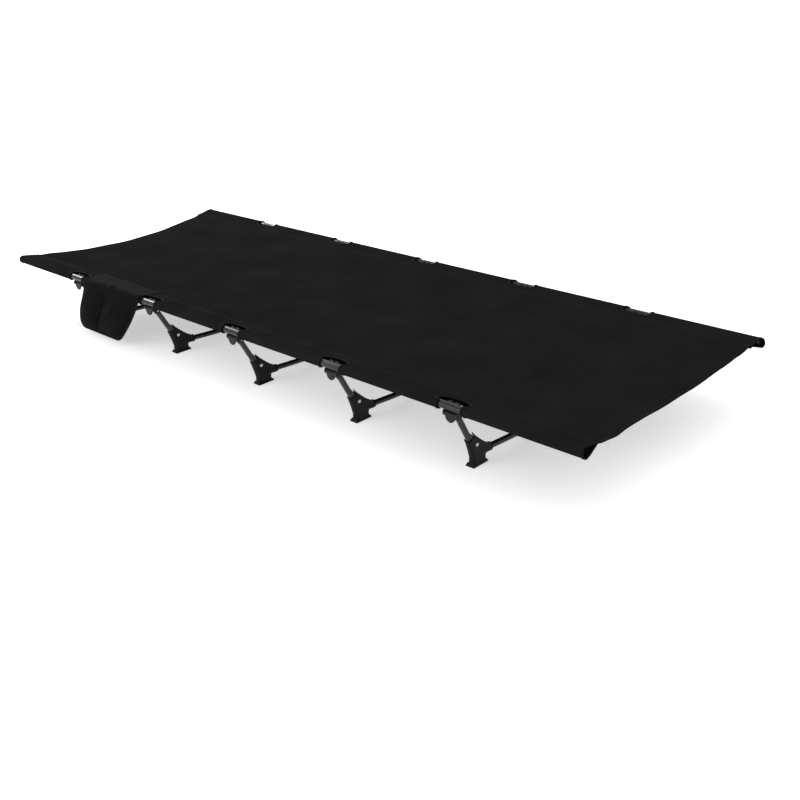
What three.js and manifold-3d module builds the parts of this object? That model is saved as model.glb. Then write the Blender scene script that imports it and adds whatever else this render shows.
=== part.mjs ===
// Low folding camping cot: two side rails in the sleeves of a fabric bed, held up and spread by five
// leg sets. Each leg set is a bowed cross pole with a hub and foot at each end, and a leaning strut
// on each hub that ends in a rail clamp with a locking lever. A pocket hangs on the near rail.
// Millimetres. +X runs from the head end to the foot end, -Y is the near side, +Z is up.
import * as THREE from 'three';
import { mergeVertices } from 'three/addons/utils/BufferGeometryUtils.js';
import Module from 'manifold-3d';

const wasm = await Module();
wasm.setup();

// ---- Driving dimensions ----
const bedLength = 1900;
const railSpan = 668; // rail centre to rail centre
const railHeight = 150; // rail centre above the floor
const railRadius = 8;
const railBore = 6.7;
const railEndInset = 6; // rail end back from the end of its sleeve

const fabric = 1.6; // modelled thickness of the bed fabric
const sleeveRadius = 10.4; // outside of the sleeve
const bedSlope = 8.5; // degrees the bed falls inwards where it leaves a rail
const bedFacets = 11; // an odd count leaves a flat strip along the middle
const headHollow = 28; // how far the head edge curves in at the middle
const footHollow = 8;
const cutoutHalf = 28.5; // half of the rail length that a cut-out bares
const cutoutWide = 36.5; // half width of the arch that a cut-out opens inboard of the rail
const cutoutShoulder = 9; // where the arch is widest, inboard of the rail centre
const cutoutReach = 23.5; // crown of the arch, inboard of the rail centre

const legCount = 5;
const legPitch = 327;
const footInset = 76; // foot centre inboard of the rail centre

const hubHalf = 8.7; // half thickness of the hub
const slotHalf = 6.9; // half width of the slot the strut folds in
const padLength = 46; // foot pad across the bed
const padWidth = 21.8; // foot pad along the bed
const padHeight = 2.6;
const pivot = [-10, 48.5]; // strut rivet, from the foot centre: inboard, up
const rivetRadius = 2.4;

const poleRadius = 6.5; // struts and cross poles
const poleBore = 5.3;
const strutLean = THREE.MathUtils.degToRad(29);
const strutMiss = 3; // strut axis passes this far inboard of the rail centre
const poleExit = [40.5, 23.6]; // cross pole axis at the hub mouth, from the foot centre
const poleDip = Math.tan(THREE.MathUtils.degToRad(4.2)); // fall of the pole as it leaves the hub
const poleSeat = 30; // length of cross pole inside the hub

const clampHalf = 17.8; // half width of the rail clamp
const seatRadius = 8.4;
const seatOuter = 12;
const fingerGap = 5; // gap between the two fingers of the seat's inner lip
const fingerHalf = 13.5; // outer end of each finger
const leverHalf = 14; // half width of the lever
const leverPin = [-2, -14.2]; // lever hinge, from the rail centre: inboard, up
const trunnionRadius = 2.2;

const pocketHead = -622; // pocket ends along the near rail
const pocketFoot = -362;
const pocketWall = 1.6;
const flapReach = 54; // inboard edge of the flap from the rail centre

// The pocket stands out on one side only, so everything shifts to put the bounding box on the origin.
const pocketFront = 38.5; // front of the pocket outboard of the rail centre
const centreShift = (pocketFront - sleeveRadius) / 2;

// ---- Shape helpers ----
const rad = THREE.MathUtils.degToRad;
const alongX = new THREE.Matrix4().set(0, 0, 1, 0, 1, 0, 0, 0, 0, 1, 0, 0, 0, 0, 0, 1);
const alongY = new THREE.Matrix4().set(1, 0, 0, 0, 0, 0, -1, 0, 0, 1, 0, 0, 0, 0, 0, 1);

function toSolid(geometry) {
  const plain = geometry.clone();
  plain.deleteAttribute('normal');
  plain.deleteAttribute('uv');
  const merged = mergeVertices(plain, 1e-4);
  return new wasm.Manifold(new wasm.Mesh({
    numProp: 3,
    vertProperties: new Float32Array(merged.attributes.position.array),
    triVerts: new Uint32Array(merged.index.array),
  }));
}

function toGeometry(solid) {
  const mesh = solid.getMesh();
  const geometry = new THREE.BufferGeometry();
  geometry.setAttribute('position', new THREE.BufferAttribute(new Float32Array(mesh.vertProperties), 3));
  geometry.setIndex(new THREE.BufferAttribute(new Uint32Array(mesh.triVerts), 1));
  geometry.computeVertexNormals();
  return geometry;
}

function outline(points, holes = []) {
  const shape = new THREE.Shape(points.map(([a, b]) => new THREE.Vector2(a, b)));
  for (const hole of holes) {
    shape.holes.push(new THREE.Path(hole.map(([a, b]) => new THREE.Vector2(a, b))));
  }
  return shape;
}

function extruded(points, depth, holes) {
  return new THREE.ExtrudeGeometry(outline(points, holes), { depth, bevelEnabled: false });
}

// A prism along X whose outline is given as [y, z] points.
function prismX(points, x0, x1, holes) {
  return toSolid(extruded(points, x1 - x0, holes).translate(0, 0, x0).applyMatrix4(alongX));
}

// A prism along Y whose outline is given as [x, z] points.
function prismY(points, y0, y1) {
  return toSolid(extruded(points, y1 - y0).translate(0, 0, -y1).applyMatrix4(alongY));
}

// A prism along Z whose outline is given as [x, y] points.
function prismZ(points, z0, z1) {
  return toSolid(extruded(points, z1 - z0).translate(0, 0, z0));
}

function arc(centre, radius, fromDeg, toDeg, steps) {
  return Array.from({ length: steps + 1 }, (_, i) => {
    const a = rad(fromDeg + ((toDeg - fromDeg) * i) / steps);
    return [centre[0] + radius * Math.cos(a), centre[1] + radius * Math.sin(a)];
  });
}

function circle(centre, radius, steps) {
  return arc(centre, radius, 0, 360, steps).slice(0, steps);
}

// A round bar in the x = 0 plane between two [y, z] points.
function bar(from, to, radius, steps = 14) {
  const start = new THREE.Vector3(0, ...from);
  const along = new THREE.Vector3(0, ...to).sub(start);
  const geometry = new THREE.CylinderGeometry(radius, radius, along.length(), steps);
  geometry.translate(0, along.length() / 2, 0);
  geometry.applyQuaternion(new THREE.Quaternion().setFromUnitVectors(
    new THREE.Vector3(0, 1, 0), along.normalize()));
  return toSolid(geometry.translate(start.x, start.y, start.z));
}

function unite(...solids) {
  return solids.reduce((a, b) => a.add(b));
}

function cut(solid, ...tools) {
  return tools.reduce((a, b) => a.subtract(b), solid);
}

// ---- Bed fabric ----
const halfSpan = railSpan / 2;

function bedSection() {
  const inner = sleeveRadius - fabric;
  const leave = 90 - bedSlope;
  const near = [-halfSpan, railHeight];
  const far = [halfSpan, railHeight];
  const join = leave - THREE.MathUtils.radToDeg(Math.acos(inner / sleeveRadius));
  const nearLoop = arc(near, sleeveRadius, leave, 360 + join, 18);
  const farLoop = arc(far, sleeveRadius, 180 - join - 360, 180 - leave, 18);
  const [edgeY, edgeZ] = nearLoop[0];
  const sag = (Math.tan(rad(bedSlope)) * -edgeY) / 2;
  const topAt = (y) => edgeZ - sag * (1 - (y / edgeY) ** 2);
  const across = Array.from({ length: bedFacets - 1 }, (_, i) => {
    const y = edgeY + (-2 * edgeY * (i + 1)) / bedFacets;
    return [y, topAt(y)];
  });
  const under = across.map(([y, z]) => [y, z - fabric]);
  return {
    points: [...nearLoop, ...under, ...farLoop, ...across.reverse()],
    holes: [circle(near, inner, 16), circle(far, inner, 16)],
  };
}

// Opening round the near rail at a clamp, as [x, y] points about the rail centre: a straight gap
// across the sleeve that widens into an arch inboard of the rail.
function cutoutOutline() {
  const flare = cutoutWide - cutoutHalf;
  const rise = cutoutReach - cutoutShoulder;
  const shoulder = arc([0, 0], 1, -90, 0, 3)
    .map(([a, b]) => [cutoutHalf + flare * a, cutoutShoulder + 10 * b]);
  const arch = arc([0, 0], 1, 0, 180, 10).map(([a, b]) => [cutoutWide * a, cutoutShoulder + rise * b]);
  const mirrored = shoulder.slice(0, -1).reverse().map(([x, y]) => [-x, y]);
  return [[-cutoutHalf, -20], [cutoutHalf, -20], ...shoulder.slice(0, -1), ...arch, ...mirrored];
}

function endTrim(hollow) {
  const reach = halfSpan - 12;
  const curve = Array.from({ length: 11 }, (_, i) => {
    const y = reach - (2 * reach * i) / 10;
    return [-bedLength / 2 + hollow * (1 - (y / reach) ** 2), y];
  });
  return prismZ([[-bedLength / 2 - 5, -reach], ...curve.reverse(), [-bedLength / 2 - 5, reach]], 0, 200);
}

function legX(leg) {
  return (leg - (legCount + 1) / 2) * legPitch;
}

function bedFabric() {
  const section = bedSection();
  let bed = prismX(section.points, -bedLength / 2, bedLength / 2, section.holes);
  const opening = prismZ(cutoutOutline(), 120, 180).translate([0, -halfSpan, 0]);
  for (let leg = 1; leg <= legCount; leg += 1) {
    const near = opening.translate([legX(leg), 0, 0]);
    const far = opening.rotate([0, 0, 180]).translate([legX(leg), 0, 0]);
    bed = cut(bed, near, far);
  }
  return cut(bed, endTrim(headHollow), endTrim(footHollow).rotate([0, 0, 180]));
}

function rail(side) {
  const centre = [side * halfSpan, railHeight];
  const reach = bedLength / 2 - railEndInset;
  return prismX(circle(centre, railRadius, 24), -reach, reach, [circle(centre, railBore, 24)]);
}

// ---- Side pocket: a pouch of two compartments on a flap that wraps over the near sleeve ----
function pouch(inset, from, to) {
  const back = 11.2 + inset;
  const face = [
    [from(158), 158], [from(48), 48], [from(48) + 22 - inset, 26 + inset],
    [to(48) - 26 + inset, 26 + inset], [to(48), 52], [to(158), 158],
  ];
  const side = [
    [-back, 158], [-27 + inset, 158], [-34 + inset, 128], [-pocketFront + inset, 88],
    [-36 + inset, 52], [-27 + inset, 32 + inset], [-17, 26 + inset], [-back, 32 + inset],
  ];
  return prismY(face, -80, 0).intersect(prismX(side, -800, -200)).translate([0, -halfSpan, 0]);
}

function sidePocket() {
  const headEdge = (z) => pocketHead - ((158 - z) / 110) * 14;
  const footEdge = (z) => pocketFoot - ((158 - z) / 110) * 72;
  const divider = (z) => pocketHead + 112 - ((158 - z) / 110) * 26;
  const pastTop = 2; // the mouths are cut a little past the top edge
  const shell = pouch(0, headEdge, footEdge);
  const headRoom = pouch(pocketWall, (z) => headEdge(z) + pocketWall, (z) => divider(z) - 1);
  const footRoom = pouch(pocketWall, (z) => divider(z) + 1, (z) => footEdge(z) - pocketWall);
  const mouth = (room) => room.add(room.intersect(
    prismZ([[-800, -600], [-200, -600], [-200, 0], [-800, 0]], 150, 158)).translate([0, 0, pastTop]));
  const flapOuter = arc([0, 0], sleeveRadius + 0.4 + pocketWall, 180, 82, 12);
  const flapInner = arc([0, 0], sleeveRadius + 0.4, 82, 180, 12);
  const lip = [flapReach, 3.8];
  const flap = [
    [-12.4, -6], ...flapOuter, [lip[0], lip[1] + pocketWall], lip, ...flapInner, [-10.8, -6],
  ].map(([y, z]) => [y - halfSpan, z + railHeight]);
  return unite(cut(shell, mouth(headRoom), mouth(footRoom)), prismX(flap, pocketHead, pocketFoot));
}

// ---- Leg set, built on the near side about the foot centre ----
const strutUp = [-Math.sin(strutLean), Math.cos(strutLean)];
const strutOut = [-Math.cos(strutLean), -Math.sin(strutLean)];
const railCentre = [-footInset, railHeight];

// The point on the strut axis level with the pivot, and the distance from there to the rail.
const axisPoint = [railCentre[0] + strutMiss, railCentre[1]];
const toPivot = [pivot[0] - axisPoint[0], pivot[1] - axisPoint[1]];
const strutRun = -(toPivot[0] * strutUp[0] + toPivot[1] * strutUp[1]);
const strutFoot = [axisPoint[0] - strutUp[0] * strutRun, axisPoint[1] - strutUp[1] * strutRun];
const strutTop = strutRun - 19;

// A point at a height up the strut from the pivot level and a distance outboard of its axis.
function onStrut(up, out = 0) {
  return [
    strutFoot[0] + strutUp[0] * up + strutOut[0] * out,
    strutFoot[1] + strutUp[1] * up + strutOut[1] * out,
  ];
}

function poleAt(y) {
  return [y, poleExit[1] - (y - poleExit[0]) * poleDip];
}

function hub() {
  const mouth = [onStrut(36, -9), onStrut(36, -7), onStrut(21, -7), onStrut(21, 7)];
  const plate = prismX([
    [-12, padHeight], [17.5, padHeight], [17.5, 17.5], [24, 20], [34, 20], [34, 34],
    [28, 37.5], [17.5, 44], [8, 51], [-4.5, 61.5], [-15, 71], ...mouth,
    [-28, 56], [-20.5, 40], [-14, 20],
  ], -hubHalf, hubHalf);
  const nose = [[-11.9, padHeight], [-11.9, 20], [-17.6, 40], [-27.6, 68]];
  const joints = nose.slice(1).map((to, i) => bar(nose[i], to, hubHalf, 12));
  const socket = bar(poleAt(6), poleExit, hubHalf + 0.9);
  const pad = prismZ([
    [-padWidth / 2, -padLength / 2], [padWidth / 2, -padLength / 2],
    [padWidth / 2, padLength / 2], [-padWidth / 2, padLength / 2],
  ], 0, padHeight);
  const ankle = new THREE.CylinderGeometry(0.8 * Math.SQRT1_2, Math.SQRT1_2, 5, 4)
    .rotateY(Math.PI / 4).rotateX(Math.PI / 2).scale(padWidth, padLength, 1)
    .translate(0, 0, padHeight + 2.4);
  const foldRoom = prismX([
    [pivot[0] - 6, pivot[1] - 2.5], [pivot[0] + 8, pivot[1] - 2.5], [50, pivot[1] + 3],
    [50, 100], [pivot[0] - 30, 100], onStrut(20),
  ], -slotHalf, slotHalf);
  const lane = prismX([onStrut(-2, -6), onStrut(60, -6), onStrut(60, 7), onStrut(-2, 7)],
    -slotHalf, slotHalf);
  const rim = prismX([onStrut(21, -7), onStrut(60, -7), onStrut(60, 20), onStrut(21, 20)], -20, 20);
  const heelRoom = prismX(circle(pivot, 13.8, 16), -slotHalf, slotHalf);
  return cut(
    unite(plate, ...joints, socket, pad, toSolid(ankle)),
    rim, lane, heelRoom, foldRoom,
    bar(poleAt(poleExit[0] - poleSeat - 0.4), poleAt(poleExit[0] + 10), poleRadius + 0.3),
    prismX(circle(pivot, rivetRadius + 0.3, 8), -20, 20),
  );
}

function rivet() {
  const seat = hubHalf + 0.2;
  const half = [[rivetRadius, seat], [4.3, seat], [3.4, seat + 1], [0, seat + 1.5]];
  const profile = [...half.map(([r, x]) => [r, -x]).reverse(), ...half];
  const points = profile.map(([r, x]) => new THREE.Vector2(r, x));
  return toSolid(new THREE.LatheGeometry(points, 8).rotateZ(Math.PI / 2).rotateX(Math.PI / 8)
    .translate(0, ...pivot));
}

function strut() {
  const tube = cut(
    bar(onStrut(8), onStrut(strutTop), poleRadius),
    bar(onStrut(20), onStrut(strutTop + 1), poleBore),
  );
  const eye = arc(pivot, 5.6, -135, 61, 12);
  const knuckle = prismX([...eye, onStrut(14, -6.2), onStrut(14, 6.4), onStrut(-1, 6.4), onStrut(-4, 3)],
    -6.3, 6.3);
  return cut(unite(tube, knuckle), prismX(circle(pivot, rivetRadius + 0.3, 8), -20, 20));
}

function crossPole() {
  const offset = halfSpan - footInset;
  const [tipY, tipZ] = poleAt(poleExit[0] - poleSeat);
  const tip = new THREE.Vector3(0, tipY - offset, tipZ);
  const exit = new THREE.Vector3(0, poleExit[0] - offset, poleExit[1]);
  const bow = new THREE.Vector3(0, 0, exit.z + exit.y * poleDip);
  const mirrored = (p) => new THREE.Vector3(0, -p.y, p.z);
  const path = new THREE.CurvePath();
  path.add(new THREE.LineCurve3(tip, exit));
  path.add(new THREE.QuadraticBezierCurve3(exit, bow, mirrored(exit)));
  path.add(new THREE.LineCurve3(mirrored(exit), mirrored(tip)));
  const ring = outline(circle([0, 0], poleRadius, 12), [circle([0, 0], poleBore, 12)]);
  return toSolid(new THREE.ExtrudeGeometry(ring, { steps: 8, extrudePath: path, bevelEnabled: false }));
}

// ---- Rail clamp and lever, built on the near side about the rail centre ----
// A point on the strut axis, given as a distance below the point nearest the rail centre.
function belowRail(down, out = 0) {
  const [y, z] = onStrut(strutRun - down, out);
  return [y - railCentre[0], z - railCentre[1]];
}

function clamp() {
  const saddle = prismX([
    ...arc([0, 0], seatRadius - 1, 45, -72, 4), ...arc([0, 0], seatOuter, -72, 45, 8),
  ], -clampHalf, clampHalf);
  const ear = prismX([
    ...arc([0, 0], seatRadius - 1, -40, -112, 2), [-6.6, -9.4], ...arc(leverPin, 5.2, 170, 270, 4),
    [5, -21.5], [10.5, -17], [12.6, -11],
  ], -clampHalf, clampHalf);
  const collar = bar(belowRail(33), belowRail(8), 8.6);
  const lipGap = (x0, x1) => prismX([[2, 2], [20, 2], [20, 20], [2, 20]], x0, x1);
  return cut(
    unite(saddle, ear, collar),
    bar(belowRail(34), belowRail(18.6), poleRadius + 0.3),
    prismX(circle([0, 0], seatRadius, 24), -20, 20),
    prismX(circle(leverPin, 6.4, 14), -leverHalf - 0.4, leverHalf + 0.4),
    prismX([[-20, -4], [-2.9, -8.2], leverPin, [3.6, -19.4], [3.6, -40], [-20, -40]],
      -leverHalf - 0.4, leverHalf + 0.4),
    prismX(circle(leverPin, trunnionRadius + 0.3, 8), -20, 20),
    lipGap(-20, -fingerHalf),
    lipGap(-fingerGap / 2, fingerGap / 2),
    lipGap(fingerHalf, 20),
  );
}

function lever() {
  const [pinY, pinZ] = leverPin;
  const side = prismX([
    ...arc(leverPin, 5, 60, 180, 6), [pinY - 4.2, pinZ - 10], [pinY - 4, pinZ - 21.5],
    [pinY - 0.7, pinZ - 21.5], [pinY - 0.6, pinZ - 10], [pinY + 1.6, pinZ - 4.8],
    ...arc(leverPin, 5, -60, 0, 4), [pinY + 4.6, pinZ + 2.6],
  ], -leverHalf, leverHalf);
  const front = prismY([
    [-leverHalf, 0], [-leverHalf, pinZ - 9], [-12, pinZ - 14.5], [-7, pinZ - 19.6], [0, pinZ - 21.4],
    [7, pinZ - 19.6], [12, pinZ - 14.5], [leverHalf, pinZ - 9], [leverHalf, 0],
  ], -20, 20);
  return unite(side.intersect(front), prismX(circle(leverPin, trunnionRadius, 8), -clampHalf, clampHalf));
}

// ---- Assembly ----
const group = new THREE.Group();

function addPart(name, solid, color, roughness, metalness) {
  const mesh = new THREE.Mesh(
    toGeometry(solid.translate([0, centreShift, 0])),
    new THREE.MeshStandardMaterial({ color, roughness, metalness }));
  mesh.name = name;
  group.add(mesh);
}

addPart('bed_fabric', bedFabric(), 0x232325, 0.9, 0);
addPart('side_pocket', sidePocket(), 0x1e1e20, 0.92, 0);
addPart('rail_near', rail(-1), 0x2a2b2e, 0.4, 0.8);
addPart('rail_far', rail(1), 0x2a2b2e, 0.4, 0.8);

const footY = -halfSpan + footInset;
const endParts = [
  ['hub', hub().translate([0, footY, 0]), 0x1b1b1d, 0.5, 0],
  ['rivet', rivet().translate([0, footY, 0]), 0xb9bbbf, 0.3, 1],
  ['strut', strut().translate([0, footY, 0]), 0x3a3b3f, 0.4, 0.8],
  ['clamp', clamp().translate([0, -halfSpan, railHeight]), 0x19191b, 0.5, 0],
  ['lever', lever().translate([0, -halfSpan, railHeight]), 0x2b2b2e, 0.55, 0],
];
const pole = crossPole();

for (let leg = 1; leg <= legCount; leg += 1) {
  addPart(`cross_pole_${leg}`, pole.translate([legX(leg), 0, 0]), 0x3a3b3f, 0.4, 0.8);
  for (const [name, solid, ...look] of endParts) {
    addPart(`${name}_${leg}_near`, solid.translate([legX(leg), 0, 0]), ...look);
    addPart(`${name}_${leg}_far`, solid.rotate([0, 0, 180]).translate([legX(leg), 0, 0]), ...look);
  }
}

export default group;
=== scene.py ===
import math

import bpy
import numpy as np
from mathutils import Matrix, Vector
from mathutils.geometry import delaunay_2d_cdt


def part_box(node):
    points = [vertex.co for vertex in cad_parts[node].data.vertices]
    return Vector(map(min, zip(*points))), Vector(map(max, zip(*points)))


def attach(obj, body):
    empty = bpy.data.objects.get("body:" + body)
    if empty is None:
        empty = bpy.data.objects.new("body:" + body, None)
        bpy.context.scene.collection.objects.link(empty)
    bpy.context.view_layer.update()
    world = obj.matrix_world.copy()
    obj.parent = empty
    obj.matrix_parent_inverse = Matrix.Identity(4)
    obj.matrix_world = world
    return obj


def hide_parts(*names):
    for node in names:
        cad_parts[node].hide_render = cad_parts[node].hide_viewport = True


# Looks of the folding cot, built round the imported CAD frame: metres, +Z up, head end at -X, near side
# at -Y.
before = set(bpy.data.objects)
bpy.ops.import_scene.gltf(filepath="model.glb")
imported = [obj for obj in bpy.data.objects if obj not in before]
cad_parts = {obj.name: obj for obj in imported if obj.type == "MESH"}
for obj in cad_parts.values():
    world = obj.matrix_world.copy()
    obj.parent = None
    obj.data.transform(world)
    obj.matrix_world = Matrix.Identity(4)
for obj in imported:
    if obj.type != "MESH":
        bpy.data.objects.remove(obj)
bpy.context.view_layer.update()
MM = 0.001

# ---- Places taken from the frame ----
near_low, near_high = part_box("rail_near")
far_low, far_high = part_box("rail_far")
RAIL_R = (near_high.y - near_low.y) / 2
RAIL_Z = (near_high.z + near_low.z) / 2
RAIL_END = near_high.x
NEAR_Y = (near_high.y + near_low.y) / 2
FAR_Y = (far_high.y + far_low.y) / 2
MID_Y = (NEAR_Y + FAR_Y) / 2
HALF_SPAN = (FAR_Y - NEAR_Y) / 2
HALF_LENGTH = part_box("bed_fabric")[1].x
SLEEVE_R = MID_Y - HALF_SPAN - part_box("bed_fabric")[0].y
LEGS = range(1, 6)
SIDES = ("near", "far")


def centre_x(node):
    low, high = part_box(node)
    return (low.x + high.x) / 2


LEG_X = [centre_x(f"cross_pole_{leg}") for leg in LEGS]

# ---- Cloth sizes ----
CLOTH = 1.1 * MM
SLOPE = math.radians(8.5)  # fall of the panel where it leaves a rail
SEAM_IN = 40 * MM  # sleeve seam, inboard of the rail centre
HEM_IN = 50 * MM  # raw edge of the sleeve, under the panel
LAP = 1.3 * MM  # panel to the sleeve layer stitched under it
HEAD_HOLLOW = 28 * MM
FOOT_HOLLOW = 8 * MM
LOWER_LIP = 6 * MM  # at the foot the under layer of each sleeve sticks out past the upper one
SLACK_OUT = 5 * MM  # the slack near corner of the foot end stands out this much
SLACK_DROP = 4 * MM  # and hangs this much
CUT_HALF = 28.5 * MM  # half of the rail that a cut-out bares
CUT_WIDE = 36.5 * MM  # half width of the cut-out's arch
CUT_SHOULDER = 9 * MM  # where it is widest, inboard of the rail
CUT_REACH = 23.5 * MM
TAPE_IN = 6.5 * MM  # binding tape on the bed: inwards of the edge, past it, and half its thickness
TAPE_OUT = 1.0 * MM
TAPE_HALF = 1.15 * MM
HEM_WIDE = 22 * MM  # hem stitches, in from each end of the bed
SEAM_ROWS = (1.5 * MM, 7.5 * MM)  # sleeve stitches, inboard of the seam
TAPE_ROW = 2.2 * MM  # tape stitches, out from the tape's inner edge


# ---- Mesh helpers ----
def add_mesh(name, verts, faces, material):
    mesh = bpy.data.meshes.new(name)
    mesh.from_pydata([tuple(v) for v in verts], [], [tuple(f) for f in faces])
    mesh.validate()
    mesh.shade_smooth()
    mesh.materials.append(material)
    piece = bpy.data.objects.new(name, mesh)
    bpy.context.scene.collection.objects.link(piece)
    return piece


def set_cut_map(piece, flat):
    """Stores each vertex's place in the flat cut, so that the weave runs with the cloth."""
    layer = piece.data.attributes.new("cut", "FLOAT_VECTOR", "POINT")
    values = np.zeros((len(piece.data.vertices), 3), np.float32)
    values[:, :2] = flat
    layer.data.foreach_set("vector", values.ravel())


def thickened(points, normals, faces, thickness):
    """Both skins of a sheet about its middle surface, joined round every open edge."""
    count = len(points)
    verts = np.vstack([points + normals * thickness / 2, points - normals * thickness / 2])
    skins = [tuple(f) for f in faces] + [tuple(i + count for i in reversed(f)) for f in faces]
    edges = {}
    for f in faces:
        for a, b in zip(f, (*f[1:], f[0])):
            if (b, a) in edges:
                del edges[(b, a)]
            else:
                edges[(a, b)] = True
    rim = [(b, a, a + count, b + count) for a, b in edges]
    return verts, skins + rim


def grid_faces(rows, columns, closed_rows=False, closed_columns=False):
    """Quads of a rows x columns grid of points, numbered row by row."""
    out = []
    for r in range(rows if closed_rows else rows - 1):
        for c in range(columns if closed_columns else columns - 1):
            r2, c2 = (r + 1) % rows, (c + 1) % columns
            out.append((r * columns + c, r * columns + c2, r2 * columns + c2, r2 * columns + c))
    return out


def turn_area(outline):
    """Area of a closed outline, positive if it runs anticlockwise."""
    after = np.roll(outline, -1, 0)
    return 0.5 * np.sum(outline[:, 0] * after[:, 1] - after[:, 0] * outline[:, 1])


def turned_round(faces):
    """The same faces, looking the other way."""
    return [tuple(reversed(f)) for f in faces]


def closed_rings(rings, inside_out):
    """A solid through rings of equal counts of points, with both end rings filled."""
    count, last = len(rings[0]), (len(rings) - 1) * len(rings[0])
    faces = grid_faces(len(rings), count, closed_columns=True)
    faces += [tuple(reversed(range(count))), tuple(last + i for i in range(count))]
    return np.vstack(rings), turned_round(faces) if inside_out else faces


def swept(path, up, section, closed=False):
    """A section of (across, up) points swept along a path. across points to the path's left seen from up."""
    path, up = np.asarray(path, float), np.asarray(up, float)
    if closed:
        along = np.roll(path, -1, 0) - np.roll(path, 1, 0)
    else:
        along = np.gradient(path, axis=0)
    along /= np.linalg.norm(along, axis=1)[:, None]
    across = np.cross(up, along)
    across /= np.linalg.norm(across, axis=1)[:, None]
    up = np.cross(along, across)
    sec = np.asarray(section, float)
    verts = path[:, None] + across[:, None] * sec[None, :, :1] + up[:, None] * sec[None, :, 1:]
    faces = grid_faces(len(path), len(sec), closed_rows=closed, closed_columns=True)
    if not closed:
        last = (len(path) - 1) * len(sec)
        faces.append(tuple(reversed(range(len(sec)))))
        faces.append(tuple(last + i for i in range(len(sec))))
    return verts.reshape(-1, 3), faces if turn_area(sec) > 0 else turned_round(faces)


def round_section(radius, sides):
    turn = 2 * np.pi * np.arange(sides) / sides
    return np.column_stack([radius * np.cos(turn), radius * np.sin(turn)])


def tape_section(inside, outside, half):
    """Folded tape over a cloth edge: a flat U closed on the edge side, with its corners rounded."""
    nose = [(outside * math.cos(a), half * math.sin(a)) for a in np.linspace(math.pi / 2, -math.pi / 2, 7)]
    return [(-inside, half * 0.72), *nose, (-inside, -half * 0.72), (-inside - 0.3 * MM, 0)]


def joined(parts):
    """Several (verts, faces) as one."""
    verts, faces, start = [], [], 0
    for v, f in parts:
        verts.append(np.asarray(v, float))
        faces += [tuple(i + start for i in face) for face in f]
        start += len(v)
    return np.vstack(verts), faces


def resampled(path, step):
    """Evenly spaced points on a polyline. Columns after the third, such as normals, go with the place."""
    path = np.asarray(path, float)
    gone = np.concatenate([[0], np.cumsum(np.linalg.norm(np.diff(path[:, :3], axis=0), axis=1))])
    count = max(2, int(round(gone[-1] / step)) + 1)
    at = np.linspace(0, gone[-1], count)
    return np.column_stack([np.interp(at, gone, path[:, k]) for k in range(path.shape[1])])


STITCH_PITCH = 4.2 * MM
STITCH_LENGTH = 3.1 * MM
THREAD_R = 0.42 * MM


def stitch_run(points, normals):
    """One row of thread stitches along points on a surface, each a short bead that dips into the cloth."""
    data = resampled(np.hstack([points, normals]), STITCH_PITCH)
    out = []
    for a, b in zip(data[:-1], data[1:]):
        start, end = a[:3], b[:3]
        up = a[3:] + b[3:]
        up /= np.linalg.norm(up)
        step = (end - start) / np.linalg.norm(end - start)
        share = np.linspace(-0.5, 0.5, 5)
        line = (start + end) / 2 + np.outer(share * STITCH_LENGTH, step)
        line += np.outer((0.25 - share ** 2) * 1.6 * MM - 0.18 * MM, up)
        out.append(swept(line, np.tile(up, (5, 1)), round_section(THREAD_R, 5)))
    return joined(out)


# ---- Materials ----
def new_material(name):
    material = bpy.data.materials.new(name)
    material.use_nodes = True
    tree = material.node_tree
    return material, tree, tree.nodes["Principled BSDF"]


def add_node(tree, kind, **values):
    made = tree.nodes.new(kind)
    for key, value in values.items():
        if key in made.inputs:
            made.inputs[key].default_value = value
        else:
            setattr(made, key, value)
    return made


def ramp(tree, source, low, high, to_low, to_high):
    made = add_node(tree, "ShaderNodeMapRange")
    tree.links.new(source, made.inputs["Value"])
    for key, value in (("From Min", low), ("From Max", high), ("To Min", to_low), ("To Max", to_high)):
        made.inputs[key].default_value = value
    return made.outputs["Result"]


def math_node(tree, operation, a, b):
    made = add_node(tree, "ShaderNodeMath", operation=operation)
    for socket, value in zip(made.inputs, (a, b)):
        if isinstance(value, (int, float)):
            socket.default_value = value
        else:
            tree.links.new(value, socket)
    return made.outputs[0]


def colour_mix(tree, factor, first, second):
    made = add_node(tree, "ShaderNodeMix", data_type="RGBA")
    tree.links.new(factor, made.inputs["Factor"])
    made.inputs["A"].default_value = (*first, 1)
    made.inputs["B"].default_value = (*second, 1)
    return made.outputs["Result"]


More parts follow.
